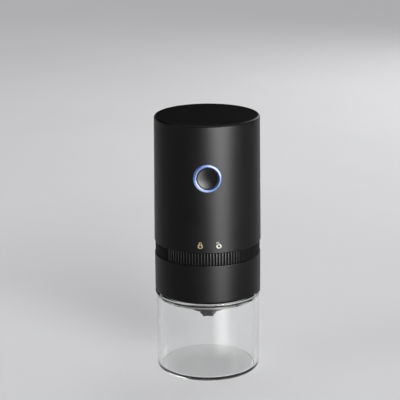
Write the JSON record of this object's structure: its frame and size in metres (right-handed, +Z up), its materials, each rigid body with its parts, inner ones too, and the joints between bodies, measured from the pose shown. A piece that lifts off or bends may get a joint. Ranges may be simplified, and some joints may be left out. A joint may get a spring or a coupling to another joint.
{
  "type": "electric coffee grinder",
  "caption": "Slim cylindrical rechargeable burr coffee grinder: black housing with a lit round button, ribbed bayonet lock ring, plain collar and clear glass powder cup.",
  "frame": {"origin": "centre of the glass cup's foot on the table", "axes": "+Z up along the grinder's own axis, -Y towards the button side, +X to the right of it"},
  "size_m": [0.07, 0.07, 0.1714],
  "materials": {
    "black_body": "satin black moulded plastic with a fine texture",
    "dark_plastic": "dark moulded plastic",
    "clear_glass": "clear pressed glass",
    "ceramic": null,
    "steel": "turned steel",
    "brass": "sintered bronze and brass",
    "silicone": "translucent silicone",
    "nylon": "natural gear nylon",
    "circuit_board": "green solder mask",
    "light_diffuser": "translucent diffuser, lit blue",
    "button_metal": "dark metallised dished cap",
    "switch_black": "black switch body",
    "led_epoxy": "clear epoxy",
    "cell_sleeve": "shrink sleeve",
    "ferrite": "sintered magnet",
    "winding": "laminated core with enamelled wire"
  },
  "bodies": {
    "powder_cup": {"glass_cup": "clear_glass"},
    "grinder_base": {"collar": "black_body", "cup_seal": "silicone", "hopper": "dark_plastic", "burr_holder": "dark_plastic", "ring_burr": "ceramic", "spindle_bracket": "dark_plastic", "spindle_bush": "brass", "base_screws": "steel", "retaining_ring": "steel"},
    "locking_ring": {"lock_ring": "black_body"},
    "drive_spindle": {"spindle": "steel", "thrust_washer": "steel", "spindle_clip": "steel", "burr_spring": "steel"},
    "grinding_cone": {"cone_burr": "ceramic", "burr_carrier": "dark_plastic"},
    "grind_adjuster": {"star_knob": "dark_plastic", "knob_insert": "brass"},
    "upper_unit": {"main_housing": "black_body", "top_cover": "black_body", "light_ring": "light_diffuser", "bayonet_ring": "dark_plastic", "inner_frame": "dark_plastic", "frame_screws": "steel", "gearbox_case": "nylon", "gearbox_cover": "nylon", "gearbox_screws": "steel", "motor_can": "steel", "motor_end_cap": "dark_plastic", "motor_magnets": "ferrite", "motor_bushes": "brass", "motor_terminals": "brass", "battery_cells": "cell_sleeve", "control_board": "circuit_board", "tact_switch": "switch_black", "board_leds": "led_epoxy", "button_pad": "silicone", "usb_board": "circuit_board", "usb_socket": "steel", "output_bush": "brass"},
    "push_button": {"start_button": "button_metal"},
    "output_stage": {"output_carrier": "steel", "output_pins": "steel"},
    "low_gear_a": {"low_planet_a": "nylon"},
    "low_gear_b": {"low_planet_b": "nylon"},
    "low_gear_c": {"low_planet_c": "nylon"},
    "mid_stage": {"mid_carrier": "nylon", "mid_pins": "steel"},
    "high_gear_a": {"high_planet_a": "nylon"},
    "high_gear_b": {"high_planet_b": "nylon"},
    "high_gear_c": {"high_planet_c": "nylon"},
    "motor_rotor": {"rotor_core": "winding", "rotor_shaft": "steel", "rotor_pinion": "brass"}
  },
  "joints": [
    {"name": "cup_lift", "type": "slide", "parent": "powder_cup", "child": "grinder_base", "axis": [0, 0, 1], "range_m": [0, 0.035]},
    {"name": "lock_twist", "type": "hinge", "parent": "grinder_base", "child": "locking_ring", "pos_m": [0, 0, 0.084], "axis": [0, 0, 1], "range_deg": [-19.6, 0]},
    {"name": "upper_lift", "type": "slide", "parent": "grinder_base", "child": "upper_unit", "axis": [0, 0, 1], "range_m": [0, 0.06]},
    {"name": "button_push", "type": "slide", "parent": "upper_unit", "child": "push_button", "axis": [0, 1, 0], "range_m": [0, 0.0008], "stiffness_N_per_m": 1200, "deforming": ["button_pad"]},
    {"name": "rotor_spin", "type": "hinge", "parent": "upper_unit", "child": "motor_rotor", "pos_m": [0, 0, 0.14], "axis": [0, 0, 1], "continuous": true},
    {"name": "mid_spin", "type": "hinge", "parent": "upper_unit", "child": "mid_stage", "pos_m": [0, 0, 0.12], "axis": [0, 0, 1], "continuous": true},
    {"name": "output_spin", "type": "hinge", "parent": "upper_unit", "child": "output_stage", "pos_m": [0, 0, 0.11], "axis": [0, 0, 1], "continuous": true},
    {"name": "spindle_spin", "type": "hinge", "parent": "grinder_base", "child": "drive_spindle", "pos_m": [0, 0, 0.08], "axis": [0, 0, 1], "continuous": true},
    {"name": "high_spin_a", "type": "hinge", "parent": "mid_stage", "child": "high_gear_a", "pos_m": [0.0075, 0, 0.12], "axis": [0, 0, 1], "continuous": true},
    {"name": "high_spin_b", "type": "hinge", "parent": "mid_stage", "child": "high_gear_b", "pos_m": [-0.00375, 0.0065, 0.12], "axis": [0, 0, 1], "continuous": true},
    {"name": "high_spin_c", "type": "hinge", "parent": "mid_stage", "child": "high_gear_c", "pos_m": [-0.00375, -0.0065, 0.12], "axis": [0, 0, 1], "continuous": true},
    {"name": "low_spin_a", "type": "hinge", "parent": "output_stage", "child": "low_gear_a", "pos_m": [0.0075, 0, 0.12], "axis": [0, 0, 1], "continuous": true},
    {"name": "low_spin_b", "type": "hinge", "parent": "output_stage", "child": "low_gear_b", "pos_m": [-0.00375, 0.0065, 0.12], "axis": [0, 0, 1], "continuous": true},
    {"name": "low_spin_c", "type": "hinge", "parent": "output_stage", "child": "low_gear_c", "pos_m": [-0.00375, -0.0065, 0.12], "axis": [0, 0, 1], "continuous": true},
    {"name": "burr_feed", "type": "slide", "parent": "drive_spindle", "child": "grinding_cone", "axis": [0, 0, 1], "range_m": [-0.0007, 0.0007], "deforming": ["burr_spring"]},
    {"name": "star_turn", "type": "hinge", "parent": "grinding_cone", "child": "grind_adjuster", "pos_m": [0, 0, 0.038], "axis": [0, 0, 1], "range_deg": [-361, 361]}
  ],
  "couplings": [
    {"joint": "mid_spin", "follows": "rotor_spin", "ratio": 0.25},
    {"joint": "output_spin", "follows": "rotor_spin", "ratio": 0.0625},
    {"joint": "spindle_spin", "follows": "rotor_spin", "ratio": 0.0625},
    {"joint": "star_turn", "follows": "burr_feed", "rad_per_m": 8976},
    {"joint": "high_spin_a", "follows": "rotor_spin", "ratio": -0.75},
    {"joint": "low_spin_a", "follows": "rotor_spin", "ratio": -0.1875},
    {"joint": "high_spin_b", "follows": "rotor_spin", "ratio": -0.75},
    {"joint": "low_spin_b", "follows": "rotor_spin", "ratio": -0.1875},
    {"joint": "high_spin_c", "follows": "rotor_spin", "ratio": -0.75},
    {"joint": "low_spin_c", "follows": "rotor_spin", "ratio": -0.1875}
  ]
}
